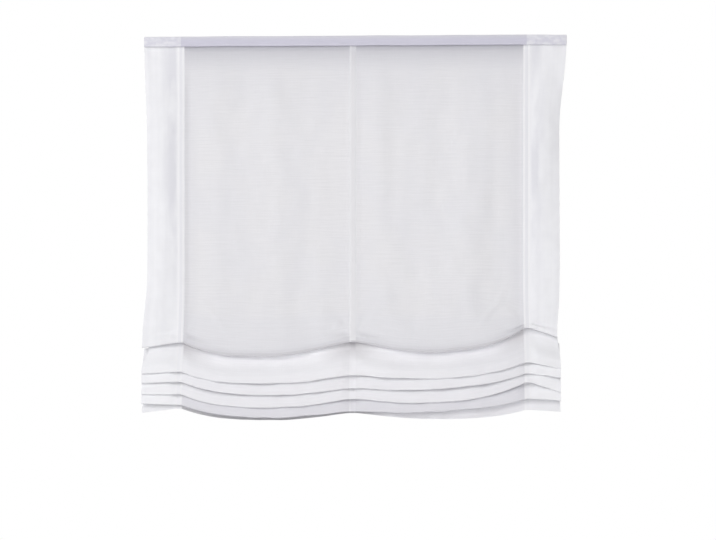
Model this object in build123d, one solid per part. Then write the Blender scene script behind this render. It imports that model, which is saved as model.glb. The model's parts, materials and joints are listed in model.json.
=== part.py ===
from build123d import *
import math
import os

# Roman blind of sheer cloth, partly raised. Millimetres, X along the rail, Y towards the wall, Z up.
# The origin is the middle of the four wall screw holes, on the wall itself.

# The cloth as it hangs: width, and drop from its top edge to its bottom hem at a lift tape.
CLOTH_WIDTH = 1000.0
RAISED_DROP = 890.0
CLOTH_THICK = 0.8
# Lift tapes sewn down the back, and how far the outer ones stand in from the side edges.
TAPE_INSET = 88.0
TAPE_WIDTH = 14.0
TAPE_THICK = 0.5
TAPE_BELOW_BAND = 6.0
SEWN_GAP = 0.2
# Folds: every lip hangs below its ring, and the stacked lips step down by one pitch each.
FOLD_COUNT = 5
FOLD_PITCH = 26.0
HEM_SHOW = 18.0
LIP_BELOW_RING = 58.0
FIRST_LIP_BELOW_RING = 12.0
LIP_RADIUS = 2.4
VALLEY_RADIUS = 2.5
FOLD_REACH = 42.0
FIRST_FOLD_REACH = 22.0
HEM_BEHIND_LIP = 6.0
SHOULDER_RADIUS = 220.0
SHOULDER_BELOW_RING = 14.0
# Each lip's own place: below its even step at each tape, its sag in mid swag and its droop at each side edge.
TAPE_UNEVEN = 20.0
LEFT_UNEVEN_SHARES = (0.3, 0.1, 0.0, 0.15, 0.1, -0.35)
CENTRE_UNEVEN_SHARES = (0.2, 0.45, 0.7, 0.65, 0.8, 0.1)
RIGHT_UNEVEN_SHARES = (-1.5, -1.1, -1.1, -1.35, -0.75, -0.35)
SWAG_SAG = 36.0
LEFT_SAG_SHARES = (0.86, 0.66, 0.64, 0.72, 0.6, 0.62)
RIGHT_SAG_SHARES = (1.05, 0.6, 0.5, 0.73, 0.4, 0.5)
SWAG_BULGE = 6.0
SWAG_POWER_SHARE = 2.5
SWAG_SKEW_SHARE = 1.25
SWAG_STATION_SHARES = (0.12, 0.3, 0.5, 0.7, 0.88)
EAR_DROOP = 20.0
LEFT_DROOP_SHARES = (0.6, 0.25, 0.15, 0.1, -0.1, 0.5)
RIGHT_DROOP_SHARES = (1.05, 0.75, 0.5, 1.15, 0.2, 0.2)
# Rings on the tapes.
RING_RADIUS = 5.0
RING_WIRE_RADIUS = 0.9
# Lift cords and the stops at their lower ends.
CORD_RADIUS = 0.5
CORD_GAP = 0.3
STOP_RADIUS = 5.0
STOP_HEIGHT = 11.0
STOP_ROUND = 1.5
STOP_CLEAR = 0.1

# Head rail: an aluminium channel, open below, with a slot in its top for the bracket latches.
RAIL_DEPTH = 30.0
RAIL_HEIGHT = 23.0
RAIL_WALL = 1.2
RAIL_FOOT = 2.0
RAIL_SLOT_WIDTH = 12.0
RAIL_SLOT_HEIGHT = 2.2
RAIL_TOP = 10.0
END_INSET = 3.0
# Hook tape on the rail and loop tape on the cloth.
FASTENER_WIDTH = 20.0
HOOK_THICK = 1.4
LOOP_THICK = 1.2
LOOP_END_INSET = 4.0

# Wall brackets and the swivel latches that lock the rail to them.
BRACKET_INSET = 120.0
BRACKET_WIDTH = 30.0
BRACKET_PLATE = 1.6
BRACKET_BEND = 2.4
BRACKET_LIP = 8.0
BRACKET_BELOW = 13.0
RAIL_TO_WALL = 8.0
SCREW_SPACING = 12.0
SCREW_HOLE_RADIUS = 2.25
LATCH_LEVER_THICK = 1.0
LATCH_GAP = 0.3
LATCH_LENGTH = 18.0
LATCH_BREADTH = 10.0
LATCH_NECK_RADIUS = 4.5
LATCH_LEVER_LENGTH = 15.0
LATCH_LEVER_WIDTH = 8.0
RIVET_RADIUS = 2.0
RIVET_HEAD_RADIUS = 3.2
RIVET_HEAD_THICK = 0.6

# The turning parts: hexagonal shaft, cord spools, chain wheel and its wrap spring.
RUN_CLEAR = 0.05
FIT_CLEAR = 0.1
SHAFT_FLATS = 6.0
SHAFT_END_RADIUS = 2.5
SHAFT_END_PLAY = 0.6
DRUM_RADIUS = 5.0
SPOOL_FLANGE_RADIUS = 6.4
SPOOL_FLANGE_THICK = 1.5
SPOOL_JOURNAL_RADIUS = 4.2
SPOOL_FREE = 40.0
WRAP_TURNS = 19
GROOVE_SHARE = 0.3
CRADLE_WALL = 2.2
CRADLE_BASE = 1.4
CRADLE_PLAY = 0.4
CRADLE_RISE = 6.5
CRADLE_HALF_WIDTH = 7.5
CRADLE_MOUTH = 7.6
CORD_HOLE_RADIUS = 1.5

# Chain drive at the right end and the cap at the left end.
BEAD_COUNT = 6
BEAD_PITCH = 6.0
BEAD_RADIUS = 2.3
WHEEL_RADIUS = 6.6
WHEEL_WIDTH = 7.0
WHEEL_LINK_RADIUS = 0.9
HUB_RADIUS = 4.6
HUB_LENGTH = 16.0
HUB_RIM_LENGTH = 4.0
SPRING_WIRE = 1.0
SPRING_TURNS = 9
CHAMBER_RADIUS = 8.4
CHAMBER_PLAY = 0.5
PLUG_LENGTH = 22.0
HOUSING_BACK = 2.0
HOUSING_DROP = 1.5
COVER_THICK = 2.5
COVER_PIN_RADIUS = 2.0
COVER_PIN_LENGTH = 4.0
CAP_THICK = 3.0
CAP_PLUG = 8.0
EDGE_ROUND = 1.0
# One overrun for every cut.
OVERRUN = 1.0

# Places that follow from the sizes above.
rail_back = -RAIL_TO_WALL
rail_front = rail_back - RAIL_DEPTH
rail_mid = (rail_back + rail_front) / 2
rail_bottom = RAIL_TOP - RAIL_HEIGHT
rail_web_top = RAIL_TOP - RAIL_WALL - RAIL_SLOT_HEIGHT
inside_top = rail_web_top - RAIL_WALL
inside_bottom = rail_bottom + RAIL_WALL
axis_z = (inside_top + inside_bottom) / 2
bracket_leg_z = RAIL_TOP + LATCH_LEVER_THICK + 2 * LATCH_GAP
bracket_top = bracket_leg_z + BRACKET_PLATE
cloth_top = bracket_top + RIVET_HEAD_THICK
cloth_y = rail_front - HOOK_THICK - LOOP_THICK - CLOTH_THICK / 2
tape_back = CLOTH_THICK / 2 + SEWN_GAP + TAPE_THICK
cord_y = cloth_y + tape_back + SEWN_GAP + RING_RADIUS + RING_WIRE_RADIUS
axis_y = cord_y + CORD_RADIUS + CORD_GAP + DRUM_RADIUS
drive_end = CLOTH_WIDTH / 2 - END_INSET
wheel_room = WHEEL_WIDTH + 2 * CHAMBER_PLAY
rail_right = drive_end - COVER_THICK - wheel_room - HOUSING_BACK
rail_left = -drive_end + CAP_THICK
bracket_x = CLOTH_WIDTH / 2 - BRACKET_INSET
tape_x = CLOTH_WIDTH / 2 - TAPE_INSET
TAPES = {"left": -tape_x, "centre": 0.0, "right": tape_x}

# Drops of the lips and of the ring rows at a tape, counted down from the cloth's top edge.
last_lip = RAISED_DROP - HEM_SHOW
lip_drops = [last_lip - FOLD_PITCH * (FOLD_COUNT - 1 - i) for i in range(FOLD_COUNT)]
ring_drops = [lip - LIP_BELOW_RING for lip in lip_drops]
lip_drops[0] = ring_drops[0] + FIRST_LIP_BELOW_RING
front_run = math.hypot(LIP_BELOW_RING + FOLD_PITCH, FOLD_REACH)
back_run = math.hypot(LIP_BELOW_RING, FOLD_REACH - 2 * LIP_RADIUS)
ring_spacing = front_run + back_run
last_flat_ring = lip_drops[0] + FIRST_LIP_BELOW_RING - ring_spacing
tape_start_drop = cloth_top - rail_bottom + TAPE_BELOW_BAND
flat_ring_rows = int((last_flat_ring - tape_start_drop) / ring_spacing) + 1


def swag_share(x):
    """How far down its swag the cloth hangs at x: 0 on a tape and outside the tapes, 1 midway."""
    half = TAPE_WIDTH / 2 + FIT_CLEAR
    span = tape_x - 2 * half
    along = min(max((abs(x) - half) / span, 0), 1)
    return 1 - abs(2 * along ** SWAG_SKEW_SHARE - 1) ** SWAG_POWER_SHARE


def ear_share(x):
    """How far out along an ear x lies: 0 at the tape, 1 at the side edge."""
    inner = tape_x + TAPE_WIDTH / 2 + FIT_CLEAR
    return max((abs(x) - inner) / (CLOTH_WIDTH / 2 - inner), 0)


def tape_uneven(x, fold):
    """How far a fold lies below its even step at x, blended from one tape to the next."""
    half = TAPE_WIDTH / 2 + FIT_CLEAR
    along = min(max((abs(x) - half) / (tape_x - 2 * half), 0), 1)
    side_shares = LEFT_UNEVEN_SHARES if x < 0 else RIGHT_UNEVEN_SHARES
    return TAPE_UNEVEN * (CENTRE_UNEVEN_SHARES[fold] * (1 - along) + side_shares[fold] * along)


def fold_shift(x, fold):
    """Downward shift of a fold at x from its even step: swag, ear and tape together."""
    droop_shares = LEFT_DROOP_SHARES if x < 0 else RIGHT_DROOP_SHARES
    sag_shares = LEFT_SAG_SHARES if x < 0 else RIGHT_SAG_SHARES
    swag = SWAG_SAG * sag_shares[fold] * swag_share(x)
    ear = EAR_DROOP * droop_shares[fold] * ear_share(x)
    return tape_uneven(x, fold) + swag + ear


def fold_rollers(x):
    """Rollers (y, z, signed radius) that the cloth's middle line runs round at x, from top to hem.

    A positive radius turns the line at a lip and a negative one at the shoulder or at a ring, like a belt.
    """
    shoulder = last_flat_ring + SHOULDER_BELOW_RING
    rollers = [(cloth_y, cloth_top, 0.0)]
    rollers.append((cloth_y - SHOULDER_RADIUS, cloth_top - shoulder, -SHOULDER_RADIUS))
    for fold in range(FOLD_COUNT):
        shift = fold_shift(x, fold)
        reach = FIRST_FOLD_REACH if fold == 0 else FOLD_REACH
        lip_y = cloth_y - reach - SWAG_BULGE * swag_share(x) + LIP_RADIUS
        rollers.append((lip_y, cloth_top - lip_drops[fold] - shift + LIP_RADIUS, LIP_RADIUS))
        ring_z = cloth_top - ring_drops[fold] - shift - VALLEY_RADIUS
        rollers.append((cloth_y - VALLEY_RADIUS, ring_z, -VALLEY_RADIUS))
    hem_shift = fold_shift(x, FOLD_COUNT)
    hem_y = cloth_y - FOLD_REACH + HEM_BEHIND_LIP
    rollers.append((hem_y, cloth_top - RAISED_DROP - hem_shift, 0.0))
    return rollers


def tangent_run(first, second):
    """Ends and heading of the straight run between two rollers."""
    dy = second[0] - first[0]
    dz = second[1] - first[1]
    heading = math.atan2(dz, dy) + math.asin((first[2] - second[2]) / math.hypot(dy, dz))
    side = (math.sin(heading), -math.cos(heading))
    start = (first[0] + first[2] * side[0], first[1] + first[2] * side[1])
    end = (second[0] + second[2] * side[0], second[1] + second[2] * side[1])
    return start, end, heading


def belt_edges(x, rollers, offset):
    """Lines and arcs, in the plane at x, of the line that runs round the rollers offset to its front.

    Lips are round, and the cloth is creased where a ring holds it.
    """
    shifted = [(y, z, radius + offset) for y, z, radius in rollers]
    runs = [tangent_run(a, b) for a, b in zip(shifted, shifted[1:])]
    edges = []
    for index, (start, end, heading) in enumerate(runs):
        edges.append(Edge.make_line((x, *start), (x, *end)))
        if index + 1 == len(runs):
            break
        turn = math.copysign(1, rollers[index + 1][2])
        after = runs[index + 1][2]
        while turn * (after - heading) < 0:
            after += turn * 2 * math.pi
        middle = (heading + after) / 2
        y, z, radius = shifted[index + 1]
        top = (x, y + radius * math.sin(middle), z - radius * math.cos(middle))
        leave = (x, *runs[index + 1][0])
        if rollers[index + 1][2] == -VALLEY_RADIUS:
            edges += [Edge.make_line((x, *end), top), Edge.make_line(top, leave)]
        else:
            edges.append(Edge.make_three_point_arc((x, *end), top, leave))
    return edges


def sheet_outline(x, rollers, front, back):
    """Closed outline, in the plane at x, of a sheet between two offsets of its line."""
    front_edges = belt_edges(x, rollers, front)
    back_edges = belt_edges(x, rollers, back)
    head = Edge.make_line(front_edges[0] @ 0, back_edges[0] @ 0)
    foot = Edge.make_line(front_edges[-1] @ 1, back_edges[-1] @ 1)
    return Wire(front_edges + back_edges + [head, foot])


def cloth_stations():
    """X places of the cloth's cross sections: edges, both sides of each tape, and points along the swags."""
    half = TAPE_WIDTH / 2 + FIT_CLEAR
    swag = [half + (tape_x - 2 * half) * share for share in SWAG_STATION_SHARES]
    right = [half, *swag, tape_x - half, tape_x + half, CLOTH_WIDTH / 2]
    return [-x for x in reversed(right)] + right


def make_cloth():
    """The whole blind as one folded sheet, head to hem."""
    half = CLOTH_THICK / 2
    outlines = [sheet_outline(x, fold_rollers(x), half, -half) for x in cloth_stations()]
    return Solid.make_loft(outlines, ruled=True)


def make_lift_tape(x):
    """Tape sewn down the back of the cloth at x, following every fold."""
    rollers = fold_rollers(x)
    start, end, heading = tangent_run(*rollers[-2:])
    rollers[0] = (cloth_y, cloth_top - tape_start_drop, 0.0)
    rollers[-1] = (end[0] - HEM_SHOW * math.cos(heading), end[1] - HEM_SHOW * math.sin(heading), 0.0)
    front = -CLOTH_THICK / 2 - SEWN_GAP
    outline = sheet_outline(x - TAPE_WIDTH / 2, rollers, front, front - TAPE_THICK)
    return Solid.extrude(Face(outline), Vector(TAPE_WIDTH, 0, 0))


def ring_heights(x):
    """Heights of the ring centres on the tape at x, from the top row down, each just under its crease."""
    flat = [cloth_top - last_flat_ring + ring_spacing * row for row in reversed(range(flat_ring_rows))]
    shifts = [fold_shift(x, fold) for fold in range(FOLD_COUNT)]
    folded = [cloth_top - drop - shift - VALLEY_RADIUS * 3 / 2 for drop, shift in zip(ring_drops, shifts)]
    return flat + folded


def make_rings(x):
    """The rings of one tape, lying level so that the cord drops through them."""
    return [Pos(x, cord_y, z) * Torus(RING_RADIUS, RING_WIRE_RADIUS) for z in ring_heights(x)]


def stop_top(x):
    """Height of the top of the cord stop at x, just under the lowest ring."""
    return ring_heights(x)[-1] - RING_WIRE_RADIUS - SEWN_GAP


def upright(radius, bottom, top):
    """A cylinder about the Z axis between two heights."""
    return Pos(0, 0, bottom) * Cylinder(radius, top - bottom, align=(Align.CENTER, Align.CENTER, Align.MIN))


def lengthwise(radius, left, right):
    """A cylinder about the shaft's axis between two X places."""
    bar = Cylinder(radius, right - left, align=(Align.CENTER, Align.CENTER, Align.MIN))
    return Pos(left, axis_y, axis_z) * Rot(0, 90, 0) * bar


def hexagon_bar(flats, left, right):
    """A hexagonal bar about the shaft's axis between two X places."""
    outline = Rot(0, 90, 0) * RegularPolygon(flats / 2, 6, major_radius=False)
    return extrude(Pos(left, axis_y, axis_z) * outline, right - left, dir=(1, 0, 0))


def block(x, y, z):
    """A box between two places on each axis."""
    middle = ((x[0] + x[1]) / 2, (y[0] + y[1]) / 2, (z[0] + z[1]) / 2)
    return Pos(*middle) * Box(x[1] - x[0], y[1] - y[0], z[1] - z[0])


def make_cord(x):
    """One lift cord, straight from its spool through the rings to its stop."""
    bottom = stop_top(x) - STOP_HEIGHT / 2
    return Pos(x, cord_y, 0) * upright(CORD_RADIUS, bottom, axis_z)


def make_stop(x):
    """Barrel that the cord is knotted into below the lowest ring."""
    top = stop_top(x)
    barrel = fillet(upright(STOP_RADIUS, top - STOP_HEIGHT, top).edges(), STOP_ROUND)
    bore = upright(CORD_RADIUS + STOP_CLEAR, top - STOP_HEIGHT - OVERRUN, top + OVERRUN)
    return Pos(x, cord_y, 0) * (barrel - bore)


def make_rail():
    """Extruded channel with its latch slot on top and its feet along the open bottom."""
    length = (rail_left, rail_right)
    past = (rail_left - OVERRUN, rail_right + OVERRUN)
    inside_y = (rail_front + RAIL_WALL, rail_back - RAIL_WALL)
    rail = block(length, (rail_front, rail_back), (rail_bottom, RAIL_TOP))
    rail -= block(past, inside_y, (inside_bottom, inside_top))
    rail -= block(past, inside_y, (rail_web_top, RAIL_TOP - RAIL_WALL))
    slot_y = (rail_mid - RAIL_SLOT_WIDTH / 2, rail_mid + RAIL_SLOT_WIDTH / 2)
    rail -= block(past, slot_y, (rail_web_top, RAIL_TOP + OVERRUN))
    mouth_y = (inside_y[0] + RAIL_FOOT, inside_y[1] - RAIL_FOOT)
    return rail - block(past, mouth_y, (rail_bottom - OVERRUN, inside_bottom + OVERRUN))


def make_hook_tape():
    """Hook tape stuck along the front of the rail."""
    z = (rail_bottom + rail_web_top) / 2
    half = FASTENER_WIDTH / 2
    return block((rail_left, rail_right), (rail_front - HOOK_THICK, rail_front), (z - half, z + half))


def make_loop_tape():
    """Loop tape sewn behind the cloth's head."""
    z = (rail_bottom + rail_web_top) / 2
    half = FASTENER_WIDTH / 2
    reach = CLOTH_WIDTH / 2 - LOOP_END_INSET
    front = rail_front - HOOK_THICK - LOOP_THICK
    return block((-reach, reach), (front, rail_front - HOOK_THICK), (z - half, z + half))


def make_bracket(x):
    """Bent steel bracket: a wall leg with two screw holes, and a leg over the rail that carries the latch."""
    tip = rail_mid - BRACKET_LIP
    half = BRACKET_WIDTH / 2
    wide = (x - half, x + half)
    bracket = block(wide, (-BRACKET_PLATE, 0), (-BRACKET_BELOW, bracket_top))
    bracket += block(wide, (tip, 0), (bracket_leg_z, bracket_top))
    along_x = bracket.edges().filter_by(Axis.X)
    bracket = fillet(along_x.sort_by_distance((x, 0, bracket_top))[0], BRACKET_BEND)
    for z in (-SCREW_SPACING / 2, SCREW_SPACING / 2):
        hole = Cylinder(SCREW_HOLE_RADIUS, 2 * BRACKET_PLATE + OVERRUN)
        bracket -= Pos(x, -BRACKET_PLATE / 2, z) * Rot(90, 0, 0) * hole
    hole = upright(RIVET_RADIUS, bracket_leg_z - OVERRUN, bracket_top + OVERRUN)
    return bracket - Pos(x, rail_mid, 0) * hole


def make_latch(x):
    """Swivel latch: a blade inside the rail's slot, a neck through it, and a lever on top."""
    low = rail_web_top + LATCH_GAP
    high = RAIL_TOP - RAIL_WALL - LATCH_GAP
    half = LATCH_BREADTH / 2
    blade = block((-half, half), (-LATCH_LENGTH / 2, LATCH_LENGTH / 2), (low, high))
    swing = Cylinder(LATCH_LENGTH / 2, 2 * (high - low))
    blade &= Pos(0, 0, (low + high) / 2) * swing
    lever_z = (RAIL_TOP + LATCH_GAP, RAIL_TOP + LATCH_GAP + LATCH_LEVER_THICK)
    width = LATCH_LEVER_WIDTH / 2
    lever = block((0, LATCH_LEVER_LENGTH - width), (-width, width), lever_z)
    lever += Pos(LATCH_LEVER_LENGTH - width, 0, 0) * upright(width, *lever_z)
    latch = blade + lever + upright(LATCH_NECK_RADIUS, low, lever_z[1])
    latch -= upright(RIVET_RADIUS + RUN_CLEAR, low - OVERRUN, lever_z[1] + OVERRUN)
    head_room = low + RIVET_HEAD_THICK + RUN_CLEAR
    latch -= upright(RIVET_HEAD_RADIUS + RUN_CLEAR, low - OVERRUN, head_room)
    return Pos(x, rail_mid, 0) * latch


def make_rivet(x):
    """Rivet that the latch turns on, headed above the bracket and inside the blade."""
    low = rail_web_top + LATCH_GAP
    rivet = upright(RIVET_RADIUS, low, bracket_top)
    rivet += upright(RIVET_HEAD_RADIUS, low, low + RIVET_HEAD_THICK)
    rivet += upright(RIVET_HEAD_RADIUS, bracket_top, bracket_top + RIVET_HEAD_THICK)
    return Pos(x, rail_mid, 0) * rivet


hub_left = rail_right + HOUSING_BACK + CHAMBER_PLAY - HUB_LENGTH
shaft_left = rail_left + CAP_PLUG + SHAFT_END_PLAY
shaft_right = rail_right + HOUSING_BACK


def make_shaft():
    """Hexagonal drive shaft with a round end that runs in the end cap."""
    shaft = hexagon_bar(SHAFT_FLATS, shaft_left, shaft_right)
    return shaft + lengthwise(SHAFT_END_RADIUS, rail_left + SHAFT_END_PLAY, shaft_left)


def spool_ends(x):
    """Inner faces of the flanges of the spool that feeds the cord at x."""
    left = x - CORD_RADIUS - CORD_GAP - 2 * CORD_RADIUS * WRAP_TURNS
    return left, left + SPOOL_FREE


def make_spool(x):
    """Cord spool on the shaft: drum, two flanges and the journals that run in its cradle."""
    left, right = spool_ends(x)
    outer = (left - SPOOL_FLANGE_THICK, right + SPOOL_FLANGE_THICK)
    journal = CRADLE_WALL + CRADLE_PLAY
    spool = lengthwise(SPOOL_JOURNAL_RADIUS, outer[0] - journal, outer[1] + journal)
    spool += lengthwise(DRUM_RADIUS, left, right)
    spool += lengthwise(SPOOL_FLANGE_RADIUS, outer[0], left)
    spool += lengthwise(SPOOL_FLANGE_RADIUS, right, outer[1])
    bore = (outer[0] - journal - OVERRUN, outer[1] + journal + OVERRUN)
    return spool - hexagon_bar(SHAFT_FLATS + FIT_CLEAR, *bore)


def coil_sleeve(left, turns, wire, inner):
    """Close turns about the shaft's axis, as one sleeve with a groove between the turns."""
    outer = inner + wire
    groove = outer - wire * GROOVE_SHARE
    right = left + turns * wire
    points = [(left, inner), (right, inner), (right, groove)]
    for turn in reversed(range(turns)):
        points += [(left + (turn + 1 / 2) * wire, outer), (left + turn * wire, groove)]
    outline = Polyline(*points, close=True)
    return Pos(0, axis_y, axis_z) * revolve(make_face(outline), Axis.X)


def make_wrap(x):
    """The cord already wound on the spool at x."""
    return coil_sleeve(spool_ends(x)[0], WRAP_TURNS, 2 * CORD_RADIUS, DRUM_RADIUS)


def make_cradle(x):
    """Carrier that sits on the rail's feet, with two open bearings for a spool and a hole for its cord."""
    left, right = spool_ends(x)
    near = SPOOL_FLANGE_THICK + CRADLE_PLAY
    outer = (left - near - CRADLE_WALL, right + near + CRADLE_WALL)
    base_y = (rail_front + RAIL_WALL + FIT_CLEAR, rail_back - RAIL_WALL - FIT_CLEAR)
    cradle = block(outer, base_y, (inside_bottom, inside_bottom + CRADLE_BASE))
    wall_y = (axis_y - CRADLE_HALF_WIDTH, axis_y + CRADLE_HALF_WIDTH)
    for start in (outer[0], outer[1] - CRADLE_WALL):
        cradle += block((start, start + CRADLE_WALL), wall_y, (inside_bottom, axis_z + CRADLE_RISE))
    mouth_y = (axis_y - CRADLE_MOUTH / 2, axis_y + CRADLE_MOUTH / 2)
    past = (outer[0] - OVERRUN, outer[1] + OVERRUN)
    cradle -= lengthwise(SPOOL_JOURNAL_RADIUS + RUN_CLEAR, *past)
    cradle -= block(past, mouth_y, (axis_z, axis_z + CRADLE_RISE + OVERRUN))
    hole = upright(CORD_HOLE_RADIUS, inside_bottom - OVERRUN, inside_bottom + CRADLE_BASE + OVERRUN)
    return cradle - Pos(x, cord_y, 0) * hole


def make_chain_wheel():
    """Bead chain wheel: pockets round a grooved rim, and a hub that takes the shaft."""
    left = rail_right + HOUSING_BACK + CHAMBER_PLAY
    right = left + WHEEL_WIDTH
    middle = (left + right) / 2
    pitch_radius = BEAD_COUNT * BEAD_PITCH / (2 * math.pi)
    wheel = lengthwise(WHEEL_RADIUS, left, right)
    groove = Pos(middle, axis_y, axis_z) * Rot(0, 90, 0) * Torus(WHEEL_RADIUS, WHEEL_LINK_RADIUS)
    wheel -= groove
    for bead in range(BEAD_COUNT):
        turn = Pos(middle, axis_y, axis_z) * Rot(bead * 360 / BEAD_COUNT, 0, 0)
        wheel -= turn * Pos(0, 0, pitch_radius) * Sphere(BEAD_RADIUS)
    wheel += lengthwise(HUB_RADIUS, hub_left, left)
    rim = HUB_RADIUS + FIT_CLEAR + SPRING_WIRE
    wheel += lengthwise(rim, left - HUB_RIM_LENGTH, left)
    wheel -= hexagon_bar(SHAFT_FLATS + FIT_CLEAR, hub_left - OVERRUN, shaft_right + SHAFT_END_PLAY)
    pin_room = right - COVER_PIN_LENGTH
    return wheel - lengthwise(COVER_PIN_RADIUS + RUN_CLEAR, pin_room, right + OVERRUN)


def make_brake_spring():
    """Wrap spring round the wheel's hub, running against the bore of the drive housing."""
    wheel_left = rail_right + HOUSING_BACK + CHAMBER_PLAY
    start = wheel_left - HUB_RIM_LENGTH - FIT_CLEAR - SPRING_TURNS * SPRING_WIRE
    return coil_sleeve(start, SPRING_TURNS, SPRING_WIRE, HUB_RADIUS + FIT_CLEAR)


def make_drive_housing():
    """Moulding at the right end: a plug inside the rail and a chamber round the wheel, open below."""
    left = rail_right - PLUG_LENGTH
    right = drive_end - COVER_THICK
    inside_y = (rail_front + RAIL_WALL + FIT_CLEAR, rail_back - RAIL_WALL - FIT_CLEAR)
    plug_z = (inside_bottom, inside_top - FIT_CLEAR)
    low = rail_bottom - HOUSING_DROP
    head = block((rail_right, right), (rail_front, rail_back), (low, RAIL_TOP))
    head = fillet(head.edges().filter_by(Axis.X), EDGE_ROUND)
    housing = head + block((left, rail_right), inside_y, plug_z)
    bore = HUB_RADIUS + FIT_CLEAR + SPRING_WIRE + RUN_CLEAR
    housing -= lengthwise(bore, left - OVERRUN, right)
    chamber_left = rail_right + HOUSING_BACK
    housing -= lengthwise(CHAMBER_RADIUS, chamber_left, right + OVERRUN)
    chamber_y = (axis_y - CHAMBER_RADIUS, axis_y + CHAMBER_RADIUS)
    return housing - block((chamber_left, right + OVERRUN), chamber_y, (low - OVERRUN, axis_z))


def make_drive_cover():
    """Side cover of the drive housing, with the pin that the wheel turns on."""
    left = drive_end - COVER_THICK
    cover = block((left, drive_end), (rail_front, rail_back), (rail_bottom - HOUSING_DROP, RAIL_TOP))
    cover = fillet(cover.edges().filter_by(Axis.X), EDGE_ROUND)
    pin_left = left - CHAMBER_PLAY - COVER_PIN_LENGTH + RUN_CLEAR
    return cover + lengthwise(COVER_PIN_RADIUS, pin_left, left)


def make_end_cap():
    """Cap that closes the rail's left end and carries the shaft's round end."""
    left = rail_left - CAP_THICK
    cap = block((left, rail_left), (rail_front, rail_back), (rail_bottom, RAIL_TOP))
    cap = fillet(cap.edges().filter_by(Axis.X), EDGE_ROUND)
    plug_y = (rail_front + RAIL_WALL + FIT_CLEAR, rail_back - RAIL_WALL - FIT_CLEAR)
    cap += block((rail_left, rail_left + CAP_PLUG), plug_y, (inside_bottom, inside_top - FIT_CLEAR))
    return cap - lengthwise(SHAFT_END_RADIUS + RUN_CLEAR, rail_left, rail_left + CAP_PLUG + OVERRUN)


def all_nodes():
    """Every piece of the blind by the name of its node."""
    nodes = {
        "head_rail": make_rail(),
        "hook_tape": make_hook_tape(),
        "loop_tape": make_loop_tape(),
        "blind_cloth": make_cloth(),
        "drive_shaft": make_shaft(),
        "chain_wheel": make_chain_wheel(),
        "brake_spring": make_brake_spring(),
        "drive_housing": make_drive_housing(),
        "drive_cover": make_drive_cover(),
        "end_cap": make_end_cap(),
    }
    for side, x in (("left", -bracket_x), ("right", bracket_x)):
        nodes["bracket_" + side] = make_bracket(x)
        nodes["latch_" + side] = make_latch(x)
        nodes["latch_rivet_" + side] = make_rivet(x)
    for side, x in TAPES.items():
        nodes["spool_" + side] = make_spool(x)
        nodes["cord_wrap_" + side] = make_wrap(x)
        nodes["spool_cradle_" + side] = make_cradle(x)
        nodes["lift_tape_" + side] = make_lift_tape(x)
        nodes["lift_rings_" + side] = Compound(children=make_rings(x))
        nodes["lift_cord_" + side] = make_cord(x)
        nodes["cord_stop_" + side] = make_stop(x)
    return nodes


os.makedirs("parts", exist_ok=True)
for name, shape in all_nodes().items():
    export_step(shape, "parts/" + name + ".step")
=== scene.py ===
"""Dresses a raised roman blind: sheer folded cloth, hems, head band, stitching, finishes and a stage."""

import json
import math
from functools import partialmethod

import bpy
import numpy as np
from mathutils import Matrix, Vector


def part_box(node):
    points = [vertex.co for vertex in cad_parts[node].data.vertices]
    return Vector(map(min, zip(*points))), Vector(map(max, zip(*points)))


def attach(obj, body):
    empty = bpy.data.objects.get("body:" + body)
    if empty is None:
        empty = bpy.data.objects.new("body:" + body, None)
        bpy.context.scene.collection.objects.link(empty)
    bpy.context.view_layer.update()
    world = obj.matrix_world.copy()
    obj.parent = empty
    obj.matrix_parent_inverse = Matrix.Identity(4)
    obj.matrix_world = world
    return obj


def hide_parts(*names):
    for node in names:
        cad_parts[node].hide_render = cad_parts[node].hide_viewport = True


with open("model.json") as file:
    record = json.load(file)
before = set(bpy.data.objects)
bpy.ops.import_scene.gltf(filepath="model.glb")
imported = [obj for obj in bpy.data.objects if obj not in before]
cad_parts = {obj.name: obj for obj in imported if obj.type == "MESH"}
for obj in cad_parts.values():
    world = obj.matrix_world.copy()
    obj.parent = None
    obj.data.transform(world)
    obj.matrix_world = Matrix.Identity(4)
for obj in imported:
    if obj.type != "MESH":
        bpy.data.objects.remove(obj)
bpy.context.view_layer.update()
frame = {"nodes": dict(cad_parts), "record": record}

bl_info = {
    "name": "Roman Blind Dresser",
    "version": (1, 0, 0),
    "blender": (4, 5, 0),
    "location": "View3D > Sidebar > Roman Blind",
    "description": "Sews the sheer cloth of a roman blind onto its head rail and sets up a studio round it",
    "category": "Object",
}

# Clearances beside and before a tape, the body that the cloth rides on, and the smallest length.
TAPE_EDGE_GAP = 0.0001
CLOTH_BEFORE_TAPE = 0.0004
BODY = "blind"
TINY = 1e-6

# What the frame gives: the solids' box, the cloth's edges and the places of the tapes.
CLOTH_LOW, CLOTH_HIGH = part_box("blind_cloth")
TAPE_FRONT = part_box("loop_tape")[0].y
SIDES = ("left", "centre", "right")
TAPE_BOXES = {side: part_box("lift_tape_" + side) for side in SIDES}
TAPE_PLACES = {side: (low.x + high.x) / 2 for side, (low, high) in TAPE_BOXES.items()}
TAPE_X = TAPE_PLACES["right"]
TAPE_HALF = (TAPE_BOXES["right"][1].x - TAPE_BOXES["right"][0].x) / 2 + TAPE_EDGE_GAP
HALF_WIDTH = CLOTH_HIGH.x
CLOTH_TOP = CLOTH_HIGH.z

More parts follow.
